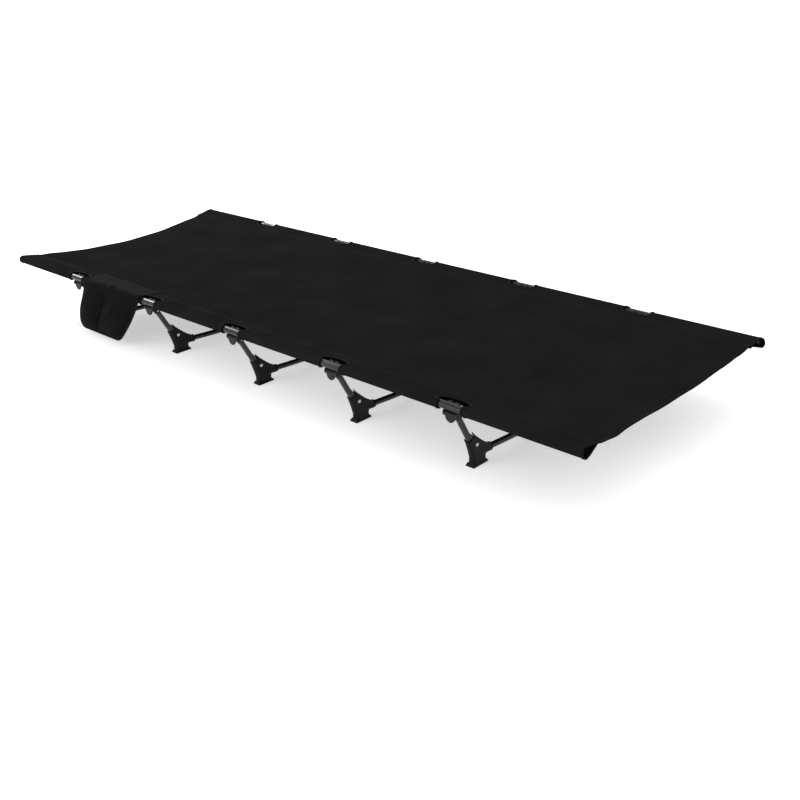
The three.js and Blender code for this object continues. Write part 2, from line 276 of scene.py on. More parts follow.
def woven(name, colour, light, pitch, roughness, bump, specular=0.2):
    """Plain-weave cloth: raised warp and weft threads in turn, uneven yarn, and a little wear."""
    material, tree, shader = new_material(name)
    place = add_node(tree, "ShaderNodeAttribute", attribute_name="cut")
    split = add_node(tree, "ShaderNodeSeparateXYZ")
    tree.links.new(place.outputs["Vector"], split.inputs[0])
    turns = 2 * math.pi / (2 * pitch)
    warp = math_node(tree, "SINE", math_node(tree, "MULTIPLY", split.outputs["X"], turns), 0)
    weft = math_node(tree, "SINE", math_node(tree, "MULTIPLY", split.outputs["Y"], turns), 0)
    weave = ramp(tree, math_node(tree, "MULTIPLY", warp, weft), -1, 1, 0, 1)
    yarn = add_node(tree, "ShaderNodeTexNoise", Scale=900, Detail=2, Roughness=0.6)
    cloud = add_node(tree, "ShaderNodeTexNoise", Scale=7, Detail=4, Roughness=0.55)
    for texture in (yarn, cloud):
        tree.links.new(place.outputs["Vector"], texture.inputs["Vector"])
    fleck = math_node(tree, "MULTIPLY", weave, ramp(tree, yarn.outputs[0], 0.3, 0.7, 0.55, 1))
    shade = math_node(tree, "ADD", math_node(tree, "MULTIPLY", fleck, 0.6),
                      ramp(tree, cloud.outputs[0], 0.3, 0.7, 0, 0.4))
    tree.links.new(colour_mix(tree, shade, colour, light), shader.inputs["Base Color"])
    tree.links.new(ramp(tree, fleck, 0, 1, roughness + 0.1, roughness - 0.06), shader.inputs["Roughness"])
    relief = add_node(tree, "ShaderNodeBump", Strength=bump, Distance=0.35 * pitch)
    tree.links.new(fleck, relief.inputs["Height"])
    tree.links.new(relief.outputs["Normal"], shader.inputs["Normal"])
    shader.inputs["Specular IOR Level"].default_value = specular
    shader.inputs["Sheen Weight"].default_value = 0.0
    shader.inputs["Sheen Roughness"].default_value = 0.5
    return material


def hard_surface(name, colour, worn, roughness, metallic, grain, bump, specular=0.5):
    """Moulded plastic or metal: fine surface grain, uneven gloss, and edges rubbed paler."""
    material, tree, shader = new_material(name)
    place = add_node(tree, "ShaderNodeTexCoord")
    fine = add_node(tree, "ShaderNodeTexNoise", Scale=grain, Detail=3, Roughness=0.6)
    cloud = add_node(tree, "ShaderNodeTexNoise", Scale=35, Detail=4, Roughness=0.6)
    for texture in (fine, cloud):
        tree.links.new(place.outputs["Object"], texture.inputs["Vector"])
    geometry = add_node(tree, "ShaderNodeNewGeometry")
    edge = ramp(tree, geometry.outputs["Pointiness"], 0.52, 0.62, 0, 0.7)
    shade = math_node(tree, "ADD", edge, ramp(tree, cloud.outputs[0], 0.35, 0.7, 0, 0.25))
    tree.links.new(colour_mix(tree, shade, colour, worn), shader.inputs["Base Color"])
    tree.links.new(ramp(tree, cloud.outputs[0], 0.3, 0.7, roughness - 0.05, roughness + 0.08),
                   shader.inputs["Roughness"])
    relief = add_node(tree, "ShaderNodeBump", Strength=bump, Distance=0.2 * MM)
    tree.links.new(fine.outputs[0], relief.inputs["Height"])
    tree.links.new(relief.outputs["Normal"], shader.inputs["Normal"])
    shader.inputs["Metallic"].default_value = metallic
    shader.inputs["Specular IOR Level"].default_value = specular
    return material


BED_CLOTH = woven("bed_cloth", (0.0062, 0.0062, 0.0064), (0.0155, 0.0155, 0.0157),
                  pitch=0.8 * MM, roughness=0.8, bump=0.35, specular=0.0)
POCKET_CLOTH = woven("pocket_cloth", (0.0025, 0.0025, 0.0026), (0.006, 0.006, 0.0061),
                     pitch=0.55 * MM, roughness=0.75, bump=0.3, specular=0.02)
TAPE_CLOTH = woven("binding_tape", (0.0035, 0.0035, 0.0036), (0.011, 0.011, 0.0112),
                   pitch=1.1 * MM, roughness=0.7, bump=0.5, specular=0.02)
THREAD = hard_surface("sewing_thread", (0.007, 0.007, 0.0072), (0.016, 0.016, 0.0164),
                      roughness=0.7, metallic=0, grain=4000, bump=0.3, specular=0.1)
RAIL_METAL = hard_surface("rail_anodised", (0.025, 0.025, 0.027), (0.09, 0.09, 0.095),
                          roughness=0.3, metallic=0.9, grain=1500, bump=0.1)
POLE_METAL = hard_surface("pole_anodised", (0.035, 0.035, 0.038), (0.1, 0.1, 0.107),
                          roughness=0.34, metallic=0.9, grain=1500, bump=0.1)
HUB_PLASTIC = hard_surface("hub_nylon", (0.002, 0.002, 0.0022), (0.008, 0.008, 0.0085),
                           roughness=0.46, metallic=0, grain=1800, bump=0.25, specular=0.15)
CLAMP_PLASTIC = hard_surface("clamp_nylon", (0.003, 0.003, 0.0032), (0.014, 0.014, 0.0145),
                             roughness=0.42, metallic=0, grain=1800, bump=0.25, specular=0.24)
LEVER_PLASTIC = hard_surface("lever_nylon", (0.005, 0.005, 0.0053), (0.015, 0.015, 0.0155),
                             roughness=0.5, metallic=0, grain=1800, bump=0.25, specular=0.18)
STEEL = hard_surface("rivet_steel", (0.5, 0.5, 0.51), (0.7, 0.7, 0.71),
                     roughness=0.28, metallic=1, grain=2500, bump=0.08)


# ---- Bed cloth: a flat cut, wrapped round both rails ----
def half_section():
    """Middle surface of the cloth, raw edge to the bed's middle, as (inboard, up) from the rail centre."""
    r = SLEEVE_R - CLOTH / 2
    leave = math.pi / 2 - SLOPE
    top = (r * math.cos(leave), r * math.sin(leave))
    reach = HALF_SPAN - top[0]
    sag = math.tan(SLOPE) * reach / 2

    def panel(v):
        return top[1] - sag * (1 - ((HALF_SPAN - v) / reach) ** 2)

    seam = (SEAM_IN, panel(SEAM_IN) - LAP)
    away = math.atan2(seam[1], seam[0]) - math.acos(r / math.hypot(*seam))
    hem = [(v, panel(v) - LAP) for v in np.linspace(HEM_IN, SEAM_IN, 4)]
    low = (r * math.cos(away), r * math.sin(away))
    slant = [(seam[0] + (low[0] - seam[0]) * t, seam[1] + (low[1] - seam[1]) * t)
             for t in np.linspace(0, 1, 16)[1:]]
    wrap = [(r * math.cos(a), r * math.sin(a)) for a in np.linspace(away, leave - 2 * math.pi, 61)[1:]]
    across = [(v, panel(v)) for v in np.linspace(top[0], HALF_SPAN, 80)[1:]]
    return np.array(hem + slant + wrap + across)


HALF = half_section()
LOWER_COUNT = int(np.argmin(HALF[:, 0])) + 1  # points up to the outermost one, then the upper layer
section_y = np.concatenate([NEAR_Y + HALF[:, 0], FAR_Y - HALF[-2::-1, 0]])
section_z = np.concatenate([RAIL_Z + HALF[:, 1], RAIL_Z + HALF[-2::-1, 1]])
section_s = np.concatenate([[0], np.cumsum(np.hypot(np.diff(section_y), np.diff(section_z)))])
FLAT_HALF = section_s[-1] / 2
section_s = section_s - FLAT_HALF
tangent_y = np.gradient(section_y, section_s)
tangent_z = np.gradient(section_z, section_s)


def flat_of(inboard, layer):
    """Distance from the flat cut's middle to the place that far inboard of the rail centre, on one layer."""
    half_s = section_s[:len(HALF)]
    if layer == "upper":
        return -np.interp(inboard, HALF[LOWER_COUNT - 1:, 0], half_s[LOWER_COUNT - 1:])
    return -np.interp(-np.asarray(inboard), -HALF[:LOWER_COUNT, 0], half_s[:LOWER_COUNT])


CUTS = [(x, sign) for x in LEG_X for sign in (-1, 1)]
SEAM_FLAT = float(flat_of(SEAM_IN, "upper"))

# Heights of the bed's relief
PUCKER = 0.22 * MM
BILLOW = 0.55 * MM
CLAMP_PULL = 0.7 * MM
CORNER_FOLD = 1.5 * MM
END_WAVE = 0.6 * MM


def bed_relief(x, s):
    """How far the cloth stands off its even shape: seam puckers, billows, clamp pulls, corner folds."""
    side = FLAT_HALF - np.abs(s)
    seam = np.exp(-((np.abs(s) - SEAM_FLAT) / (7 * MM)) ** 2)
    lift = PUCKER * seam * np.sin(x / (3.6 * MM) + 1.3 * np.sin(x / (31 * MM)))
    billow = np.sin(5.1 * x + 7 * s + 0.6) + 0.7 * np.sin(11.3 * x - 9 * s + 2.1)
    billow = billow + 0.4 * np.sin(23 * x + 21 * s)
    lift += BILLOW * billow * np.clip((SEAM_FLAT - np.abs(s)) / 0.08, 0, 1)
    for cut_x, sign in CUTS:
        along, inward = x - cut_x, SEAM_FLAT - sign * s
        reach = np.hypot(along, inward)
        turn = np.arctan2(along, inward + 12 * MM)
        fade = np.exp(-(reach / (62 * MM)) ** 2) * (inward > -8 * MM)
        lift += CLAMP_PULL * fade * np.cos(7 * turn + 0.8 * sign) * np.clip(reach / (25 * MM), 0, 1)
    for end in (-1, 1):
        inset = HALF_LENGTH - end * x
        for sign in (-1, 1):
            inward = SEAM_FLAT - sign * s
            diagonal = inset * 0.74 - inward * 0.67
            depth = inset * 0.67 + inward * 0.74
            fade = np.exp(-(depth / (75 * MM)) ** 2) * np.exp(-(diagonal / (80 * MM)) ** 2) * (inward > 0)
            lift += CORNER_FOLD * fade * np.sin(diagonal / (5.2 * MM) + depth / (24 * MM) + sign + end)
        edge = np.exp(-(inset - 20 * MM) ** 2 / (45 * MM) ** 2)
        edge = edge * np.clip((SEAM_FLAT - np.abs(s)) / 0.05, 0, 1)
        lift += END_WAVE * edge * np.sin(s / (21 * MM) + end)
    slack = np.exp(-((s + SEAM_FLAT - 52 * MM) / (32 * MM)) ** 2)
    lift -= SLACK_DROP * slack * np.exp(-((HALF_LENGTH - x) / (80 * MM)) ** 2)
    return lift * np.clip(side / (30 * MM), 0, 1)


def on_bed(flat, lift=0.0):
    """Points and outward normals on the cloth's middle surface at flat (x, s) places, lifted off it."""
    flat = np.asarray(flat, float)
    x, s = flat[:, 0], flat[:, 1]
    normal = np.column_stack([0 * s, -np.interp(s, section_s, tangent_z), np.interp(s, section_s, tangent_y)])
    normal /= np.linalg.norm(normal, axis=1)[:, None]
    base = np.column_stack([x, np.interp(s, section_s, section_y), np.interp(s, section_s, section_z)])
    return base + normal * (bed_relief(x, s) + lift)[:, None], normal


def end_x(s, end):
    """Distance of an end edge (-1 head, 1 foot) from the bed's middle: it curves in between the sleeves."""
    open_half = float(flat_of(12 * MM, "upper"))
    hollow = FOOT_HOLLOW if end > 0 else HEAD_HOLLOW
    around = np.abs(s)
    under = np.clip((around - float(flat_of(0, "upper"))) / (20 * MM), 0, 1) * \
        np.clip((FLAT_HALF - around) / (42 * MM), 0, 1)
    slack = SLACK_OUT * np.exp(-((np.asarray(s) + SEAM_FLAT - 45 * MM) / (55 * MM)) ** 2)
    extra = LOWER_LIP * under + slack if end > 0 else 0
    return HALF_LENGTH - hollow * np.clip(1 - (np.asarray(s) / open_half) ** 2, 0, 1) + extra


def cutout_plan():
    """Outline of a cut-out from one sleeve edge round the arch to the other, as (along, inboard)."""
    shoulder = [(CUT_HALF + (CUT_WIDE - CUT_HALF) * math.cos(a), CUT_SHOULDER + 10 * MM * math.sin(a))
                for a in np.linspace(-math.pi / 2, 0, 6)[:-1]]
    arch = [(CUT_WIDE * math.cos(a), CUT_SHOULDER + (CUT_REACH - CUT_SHOULDER) * math.sin(a))
            for a in np.linspace(0, math.pi, 25)]
    return shoulder + arch + [(-x, v) for x, v in reversed(shoulder)]


def cutout_flat(cut_x, sign):
    """Closed outline of a cut-out in the flat cut: the arch on the upper layer, then on the lower one."""
    plan = cutout_plan()
    upper = [(cut_x + x, sign * float(flat_of(v, "upper"))) for x, v in plan]
    lower = [(cut_x + x, sign * float(flat_of(v, "lower"))) for x, v in reversed(plan)]
    across = np.linspace(0, 1, 11)[1:-1]
    left = [(upper[-1][0], upper[-1][1] + (lower[0][1] - upper[-1][1]) * t) for t in across]
    right = [(lower[-1][0], lower[-1][1] + (upper[0][1] - lower[-1][1]) * t) for t in across]
    return np.array(upper + left + lower + right)


def inside(points, outline):
    """Which points lie in a closed outline."""
    x, y = points[:, :1], points[:, 1:]
    x1, y1 = outline[:, 0], outline[:, 1]
    x2, y2 = np.roll(x1, -1), np.roll(y1, -1)
    crosses = (y1 > y) != (y2 > y)
    at = x1 + (y - y1) * (x2 - x1) / np.where(y2 == y1, 1, y2 - y1)
    return (crosses & (x < at)).sum(1) % 2 == 1


def steps(stops, sizes):
    """Values that run through the stops, with each stretch cut into even steps of about its own size."""
    out = [stops[0]]
    for start, end, size in zip(stops, stops[1:], sizes):
        count = max(1, round((end - start) / size))
        out += list(start + (end - start) * np.arange(1, count + 1) / count)
    return np.array(out)


def bed_flat_mesh():
    """Triangles of the flat cut, its cut-outs left open."""
    fold = float(flat_of(-SLEEVE_R, "upper"))
    half_lines = steps([0, SEAM_FLAT - 0.05, SEAM_FLAT - 8 * MM, fold - 20 * MM, FLAT_HALF],
                       [11 * MM, 7 * MM, 4 * MM, 2.8 * MM])
    lines = np.concatenate([-half_lines[:0:-1], half_lines])
    foot = [(end_x(s, 1), s) for s in lines]
    head = [(-end_x(s, -1), s) for s in lines[::-1]]
    fine = steps([-HALF_LENGTH, HALF_LENGTH], [5 * MM])[1:-1]
    outer = np.array(foot + head)
    outlines = [outer] + [cutout_flat(x, sign) for x, sign in CUTS]
    grid = []
    for k, s in enumerate(lines[1:-1]):
        row = fine if abs(s) > SEAM_FLAT - 0.05 else fine[::2]
        shift = 2.5 * MM if k % 2 else 0
        kept = row[(row + shift < end_x(s, 1) - 4 * MM) & (row + shift > 4 * MM - end_x(s, -1))] + shift
        grid.append(np.column_stack([kept, np.full(len(kept), s)]))
    grid = np.vstack(grid)
    keep = np.ones(len(grid), bool)
    for (cut_x, sign), hole in zip(CUTS, outlines[1:]):
        near_by = np.abs(grid[:, 0] - cut_x) < 60 * MM
        index = np.flatnonzero(near_by & (grid[:, 1] * sign > 0))
        gap = np.hypot(grid[index, None, 0] - hole[:, 0], grid[index, None, 1] - hole[:, 1]).min(1)
        keep[index[(gap < 1.6 * MM) | inside(grid[index], hole)]] = False
    edge_rows = [np.column_stack([fine, np.full(len(fine), s)]) for s in (-FLAT_HALF, FLAT_HALF)]
    points = list(map(Vector, np.vstack([*outlines, grid[keep], *edge_rows])))
    constraints, start = [], 0
    for outline in outlines:
        count = len(outline)
        constraints.append([start + i for i in range(count)])
        start += count
    made = delaunay_2d_cdt(points, [], constraints, 2, 1e-7)
    return np.array([tuple(p) for p in made[0]]), [tuple(f) for f in made[2]]


def build_bed():
    flat, faces = bed_flat_mesh()
    points, normals = on_bed(flat)
    verts, skins = thickened(points, normals, faces, CLOTH)
    piece = add_mesh("bed", verts, skins, BED_CLOTH)
    set_cut_map(piece, np.vstack([flat, flat]))
    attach(piece, "bed")
    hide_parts("bed_fabric")
    return piece


bed = build_bed()


# ---- Trim on the bed: bound edges, seams and stitch rows ----
def edge_tape(loop_flat, into, closed):
    """Binding tape over a cloth edge given in the flat cut; into is the flat direction from edge to cloth."""
    path, normals = on_bed(loop_flat)
    across = on_bed(loop_flat + into * 2 * MM)[0] - path
    along = np.roll(path, -1, 0) - np.roll(path, 1, 0) if closed else np.gradient(path, axis=0)
    left = np.cross(normals, along)
    if (np.einsum("ij,ij->i", left, across)).mean() > 0:
        path, normals = path[::-1], normals[::-1]
    return swept(path, normals, tape_section(TAPE_IN, TAPE_OUT, TAPE_HALF), closed=closed)


def inward_of(outline):
    """Unit flat direction away from a closed outline's inside, at each of its points."""
    along = np.roll(outline, -1, 0) - np.roll(outline, 1, 0)
    side = np.column_stack([along[:, 1], -along[:, 0]]) / np.linalg.norm(along, axis=1)[:, None]
    middle = outline.mean(0)
    return side * np.sign(np.einsum("ij,ij->i", side, outline - middle).mean())


def build_bed_tapes():
    parts = []
    for cut_x, sign in CUTS:
        hole = cutout_flat(cut_x, sign)
        outline = resampled(np.vstack([hole, hole[:1]]), 2.5 * MM)[:-1]
        parts.append(edge_tape(outline, inward_of(outline), True))
    for end in (-1, 1):
        s = np.linspace(-FLAT_HALF, FLAT_HALF, 420)
        edge = np.column_stack([end * end_x(s, end), s])
        into = np.column_stack([np.full(len(s), -end), np.zeros(len(s))])
        parts.append(edge_tape(edge, into, False))
    verts, faces = joined(parts)
    piece = add_mesh("bed_binding", verts, faces, TAPE_CLOTH)
    set_cut_map(piece, verts[:, :2])
    return piece


def bed_row(flat):
    """A stitch row on the cloth's outer face, with any stretch over a cut-out left out."""
    flat = np.asarray(flat, float)
    clear = np.ones(len(flat), bool)
    for cut_x, sign in CUTS:
        hole = cutout_flat(cut_x, sign)
        gap = np.hypot(flat[:, None, 0] - hole[:, 0], flat[:, None, 1] - hole[:, 1]).min(1)
        clear &= ~((gap < TAPE_IN + 1 * MM) | inside(flat, hole))
    stretches = np.split(np.arange(len(flat)), np.flatnonzero(np.diff(clear.astype(int))) + 1)
    return [stitch_run(*on_bed(flat[r], CLOTH / 2)) for r in stretches if clear[r[0]] and len(r) > 3]


def build_bed_stitches():
    rows = []
    x = np.linspace(-HALF_LENGTH + 10 * MM, HALF_LENGTH - 10 * MM, 700)
    for sign in (-1, 1):
        for inboard in SEAM_ROWS:
            s = np.full(len(x), sign * float(flat_of(SEAM_IN + inboard, "upper")))
            rows += bed_row(np.column_stack([x, s]))
    for cut_x, sign in CUTS:
        outline = cutout_flat(cut_x, sign)
        ring = outline + inward_of(outline) * (TAPE_IN - TAPE_ROW)
        rows.append(stitch_run(*on_bed(ring, TAPE_HALF)))
    for end in (-1, 1):
        s = np.linspace(-FLAT_HALF + 4 * MM, FLAT_HALF - 4 * MM, 500)
        tape = np.column_stack([end * (end_x(s, end) - TAPE_IN + TAPE_ROW), s])
        rows.append(stitch_run(*on_bed(tape, TAPE_HALF)))
        s = np.linspace(-SEAM_FLAT + 5 * MM, SEAM_FLAT - 5 * MM, 400)
        rows.append(stitch_run(*on_bed(np.column_stack([end * (end_x(s, end) - HEM_WIDE), s]), CLOTH / 2)))
    verts, faces = joined(rows)
    return add_mesh("bed_stitches", verts, faces, THREAD)


bed_trim = [build_bed_tapes(), build_bed_stitches()]
for piece in bed_trim:
    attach(piece, "bed")

# ---- Side pocket: a flap sewn on the bed, a back that hangs from it, and a front with two rooms ----
pocket_low, pocket_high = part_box("side_pocket")
POCKET_CLOTH_T = 0.9 * MM
FLAP_IN = pocket_high.y - NEAR_Y  # inboard edge of the flap
FLAP_HEAD_X = pocket_low.x + 12 * MM  # head end of that edge
POCKET_TOP = 12 * MM  # top of the sleeve above the rail centre, where both pocket edges start
POCKET_HEAD_X = pocket_low.x + 34 * MM
POCKET_FOOT_X = pocket_high.x + 2 * MM
POCKET_DEEP = RAIL_Z - pocket_low.z + 4 * MM  # bottom of the pocket below the rail centre
HEAD_FLARE = 49 * MM  # the head edge runs out by this much, then drops straight
FLARE_TALL = 125 * MM
FOOT_SWEEP = 113 * MM  # the foot edge sweeps back by this much at the bottom
HEAD_CORNER = 16 * MM
FOOT_CORNER = 11 * MM
DIVIDER = 0.44  # share of the pocket's length on the head side of the divider
FRONT_GAP = 1.2 * MM  # least gap between the front and the back
BACK_BOW = 1.2 * MM  # the back bows out by this much half way down
RIPPLE = 0.9 * MM
FINE_RIPPLE = 0.6 * MM
PIPING_IN = 5 * MM
MOUTH_GAPE = 5 * MM  # a small arched gape of the mouth beside the divider
WRAP_R = SLEEVE_R + 0.3 * MM + POCKET_CLOTH_T / 2  # the pocket's back, over the sleeve


def pocket_span(w):
    """Head and foot ends of the pocket at height w above the rail centre, with its rounded bottom corners."""
    drop = np.maximum(POCKET_TOP - w, 0)
    flare = HEAD_FLARE * (1 - np.cos(math.pi * np.minimum(drop / FLARE_TALL, 1))) / 2
    sweep = FOOT_SWEEP * (drop / (POCKET_TOP + POCKET_DEEP)) ** 1.3
    height = np.maximum(w + POCKET_DEEP, 0)

    def corner(radius):
        return radius - np.sqrt(np.maximum(radius ** 2 - np.maximum(radius - height, 0) ** 2, 0))

    return POCKET_HEAD_X - flare + corner(HEAD_CORNER), POCKET_FOOT_X - sweep - corner(FOOT_CORNER)


def sheet_piece(name, grid, thickness, material):
    """A sheet from rows of middle-surface points; its cut map follows the lengths along and down it."""
    normals = np.cross(np.gradient(grid, axis=1), np.gradient(grid, axis=0))
    normals /= np.linalg.norm(normals, axis=2)[:, :, None]
    faces = grid_faces(*grid.shape[:2])
    verts, faces = thickened(grid.reshape(-1, 3), normals.reshape(-1, 3), faces, thickness)
    piece = add_mesh(name, verts, faces, material)
    run = np.concatenate([[0], np.cumsum(np.linalg.norm(np.diff(grid.mean(1), axis=0), axis=1))])
    flat = np.stack([grid[:, :, 0], np.broadcast_to(run[:, None], grid.shape[:2])], -1).reshape(-1, 2)
    set_cut_map(piece, np.vstack([flat, flat]))
    return piece, normals


def pocket_back_grid():
    lift = CLOTH / 2 + 0.3 * MM + POCKET_CLOTH_T / 2
    top_s = np.linspace(float(flat_of(FLAP_IN, "upper")), float(flat_of(0, "upper")), 16)
    turn = np.linspace(math.pi / 2, math.pi, 12)[1:]
    wrap = [(WRAP_R * math.cos(a), WRAP_R * math.sin(a)) for a in turn]
    depth = POCKET_DEEP * (1 - np.cos(np.linspace(0, 1, 40)[1:] * math.pi / 2))
    hang = [(-WRAP_R - BACK_BOW * math.sin(math.pi * d / POCKET_DEEP), -d) for d in depth]
    share = np.linspace(0, 1, 61)
    rows = []
    for step, s in enumerate(top_s):
        head = FLAP_HEAD_X + (POCKET_HEAD_X - FLAP_HEAD_X) * step / (len(top_s) - 1)
        x = head + (POCKET_FOOT_X - head) * share
        rows.append(on_bed(np.column_stack([x, np.full(len(x), -s)]), lift)[0])
    for v, w in wrap + hang:
        head, foot = pocket_span(w)
        x = head + (foot - head) * share
        rows.append(np.column_stack([x, np.full(len(x), NEAR_Y + v), np.full(len(x), RAIL_Z + w)]))
    return np.array(rows)


def pocket_depth(w):
    """How far the front stands off the back at height w above the rail centre."""
    heights = np.array([-POCKET_DEEP, -119 * MM, -98 * MM, -62 * MM, -24 * MM, 0])
    depths = np.array([0.0, 9 * MM, 16 * MM, 17 * MM, 10 * MM, 1.5 * MM])
    return np.interp(w, heights, depths)


def pocket_front_grid():
    """The front starts on top of the sleeve, turns round it on the back, then hangs in two full rooms."""
    share = np.linspace(0, 1, 113)
    room = np.where(share < DIVIDER, share / DIVIDER, (share - DIVIDER) / (1 - DIVIDER))
    lobe = 1 - np.abs(2 * room - 1) ** 3.2
    fullness = np.maximum(lobe, 0.55 * (1 - ((share - DIVIDER) / 0.4) ** 2).clip(0, 1))
    fullness -= 0.3 * np.exp(-((share - DIVIDER) / 0.018) ** 2)
    ends = np.clip(np.minimum(share, 1 - share) / 0.03, 0, 1) ** 0.6
    radius = WRAP_R + POCKET_CLOTH_T
    start = math.radians(90) + math.radians(62) * np.clip((0.5 - share) / 0.5, 0, 1)
    gape = MOUTH_GAPE * np.exp(-((share - DIVIDER - 0.055) / 0.035) ** 2)
    rows = []
    for t in np.linspace(0, 1, 57):
        run = t * (2 - t) * 0.5 + t * 0.5
        gone = run * (radius * (math.pi - start) + POCKET_DEEP)
        angle = np.minimum(start + gone / radius, math.pi)
        w = np.where(angle < math.pi, radius * np.sin(angle), radius * (math.pi - start) - gone)
        head, foot = pocket_span(w)
        x = head + (foot - head) * share
        ripple = RIPPLE * np.sin(19 * share + 5 * t) * np.sin(math.pi * t)
        ripple = ripple + FINE_RIPPLE * np.sin(43 * share + 13 * t + 1) * t * (1 - t) * 4
        stand = FRONT_GAP + (pocket_depth(w) * fullness + ripple) * ends * (1 - t ** 14)
        stand += gape * np.exp(-((gone - 1 * MM) / (7 * MM)) ** 2)
        reach = radius + stand
        y = np.where(angle < math.pi, reach * np.cos(angle), -reach)
        z = np.where(angle < math.pi, reach * np.sin(angle), w)
        rows.append(np.column_stack([x, NEAR_Y + y, RAIL_Z + z]))
    return np.array(rows)


def flat_room(grid):
    """Sides of the rectangle that a sheet's flat cut fits in: its reach along x, and its run down."""
    down = np.linalg.norm(np.diff(grid[:, :, 1:], axis=0), axis=2).sum(0).max()
    return float(np.ptp(grid[:, :, 0])), float(down)


def build_pocket():
    back_grid, front_grid = pocket_back_grid(), pocket_front_grid()
    back, back_normals = sheet_piece("pocket_back", back_grid, POCKET_CLOTH_T, POCKET_CLOTH)
    front, front_normals = sheet_piece("pocket_front", front_grid, POCKET_CLOTH_T, POCKET_CLOTH)
    section = tape_section(PIPING_IN, 0.9 * MM, 0.95 * MM)
    seam = np.vstack([front_grid[:, 0], front_grid[-1, 1:-1], front_grid[::-1, -1]])
    seam = resampled(seam, 3 * MM)
    seam[:, 1] += 0.5 * FRONT_GAP
    out = np.tile([0, -1.0, 0], (len(seam), 1))
    wide = tape_section(PIPING_IN, 1.2 * MM, 1.9 * MM)
    tapes = [swept(seam, out, wide)]
    mouth = front_grid[0]
    tapes.append(swept(mouth[::-1], front_normals[0][::-1], section))
    flap_edge = resampled(np.hstack([back_grid[0], back_normals[0]]), 3 * MM)
    tapes.append(swept(flap_edge[:, :3], flap_edge[:, 3:], section))
    column = int(round(DIVIDER * (front_grid.shape[1] - 1)))
    strip = resampled(np.hstack([front_grid[1:-1, column], front_normals[1:-1, column]]), 3 * MM)
    ridge = [(9.4 * MM, 0), (9 * MM, 1.2 * MM), (0.4 * MM, 1.2 * MM), (0, 0)]
    tapes.append(swept(strip[:, :3], strip[:, 3:], ridge))
    verts, faces = joined(tapes)
    binding = add_mesh("pocket_binding", verts, faces, TAPE_CLOTH)
    set_cut_map(binding, verts[:, [0, 2]])
    rows = []
    for c in (column + 1, column + 3):
        rows.append((front_grid[1:-2, c] + front_normals[1:-2, c] * 0.8 * MM, front_normals[1:-2, c]))
    rows.append((front_grid[3, 2:-2], front_normals[3, 2:-2]))
    for r in (1, 2):
        rows.append((back_grid[r, 1:-1], back_normals[r, 1:-1]))
    runs = [stitch_run(p + n * POCKET_CLOTH_T / 2, n) for p, n in rows]
    verts, faces = joined(runs)
    stitches = add_mesh("pocket_stitches", verts, faces, THREAD)
    for piece in (back, front, binding, stitches):
        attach(piece, "bed")
    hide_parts("side_pocket")
    return back, front, binding, stitches


pocket_back, pocket_front, pocket_binding, pocket_stitches = build_pocket()
flat_room(pocket_back_grid())
flat_room(pocket_front_grid())


# ---- Hardware ----
def tube(path, outer, inner, sides):
    """A hollow tube along a path in the x = constant plane or along x, its end edges eased."""
    path = np.asarray(path, float)
    along = path[-1] - path[0]
    up = np.array([1.0, 0, 0]) if abs(along[0]) < 0.5 * np.linalg.norm(along) else np.array([0, 0, 1.0])
    ease = 0.35 * MM
    start = (path[1] - path[0]) / np.linalg.norm(path[1] - path[0])
    end = (path[-1] - path[-2]) / np.linalg.norm(path[-1] - path[-2])
    ups = np.tile(up, (len(path), 1))
    skin = swept(path, ups, round_section(outer, sides))[0].reshape(len(path), sides, 3)
    bore = swept(path, ups, round_section(inner, sides))[0].reshape(len(path), sides, 3)

    def ring(base, centre, radius, full, shift):
        return centre + (base - centre) * (radius / full) + shift

    rings = [ring(skin[0], path[0], outer - ease, outer, 0 * start), skin[0] + start * ease]
    rings += list(skin[1:-1])
    rings += [skin[-1] - end * ease, ring(skin[-1], path[-1], outer - ease, outer, 0 * end)]
    rings += [ring(bore[-1], path[-1], inner + ease, inner, 0 * end), bore[-1] - end * ease]
    rings += list(bore[-2:0:-1])
    rings += [bore[0] + start * ease, ring(bore[0], path[0], inner + ease, inner, 0 * start)]
    faces = grid_faces(len(rings), sides, closed_rows=True, closed_columns=True)
    return np.vstack(rings), faces


def node_points(node):
    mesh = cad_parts[node].data
    out = np.zeros(len(mesh.vertices) * 3)
    mesh.vertices.foreach_get("co", out)
    return out.reshape(-1, 3)


def centreline(node):
    """Middle of each ring of a cross pole's CAD tube, from the near end to the far end."""
    points = node_points(node)
    points = points[np.argsort(points[:, 1])]
    breaks = np.flatnonzero(np.diff(points[:, 1]) > 10 * MM) + 1
    return np.array([ring.mean(0) for ring in np.split(points, breaks)])


def smooth_path(points, count):
    """Catmull-Rom curve through points."""
    ends = np.vstack([2 * points[0] - points[1], points, 2 * points[-1] - points[-2]])
    out = []
    for i in range(1, len(ends) - 2):
        p0, p1, p2, p3 = ends[i - 1:i + 3]
        t = np.linspace(0, 1, count, endpoint=False)[:, None]
        out.append(0.5 * (2 * p1 + (p2 - p0) * t + (2 * p0 - 5 * p1 + 4 * p2 - p3) * t ** 2
                          + (3 * p1 - p0 - 3 * p2 + p3) * t ** 3))
    return np.vstack([*out, points[-1:]])


def on_side(points, side, leg_x):
    """Near-side points, for the far side turned half a turn about the leg set's upright axis."""
    if side == "near":
        return points
    return np.column_stack([2 * leg_x - points[:, 0], 2 * MID_Y - points[:, 1], points[:, 2]])


def placed(name, verts, faces, material, body, slot, nodes=()):
    piece = add_mesh(name, verts, faces, material)
    piece.data.set_sharp_from_angle(angle=math.radians(40))
    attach(piece, body)
    if nodes:
        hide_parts(*nodes)
    return piece


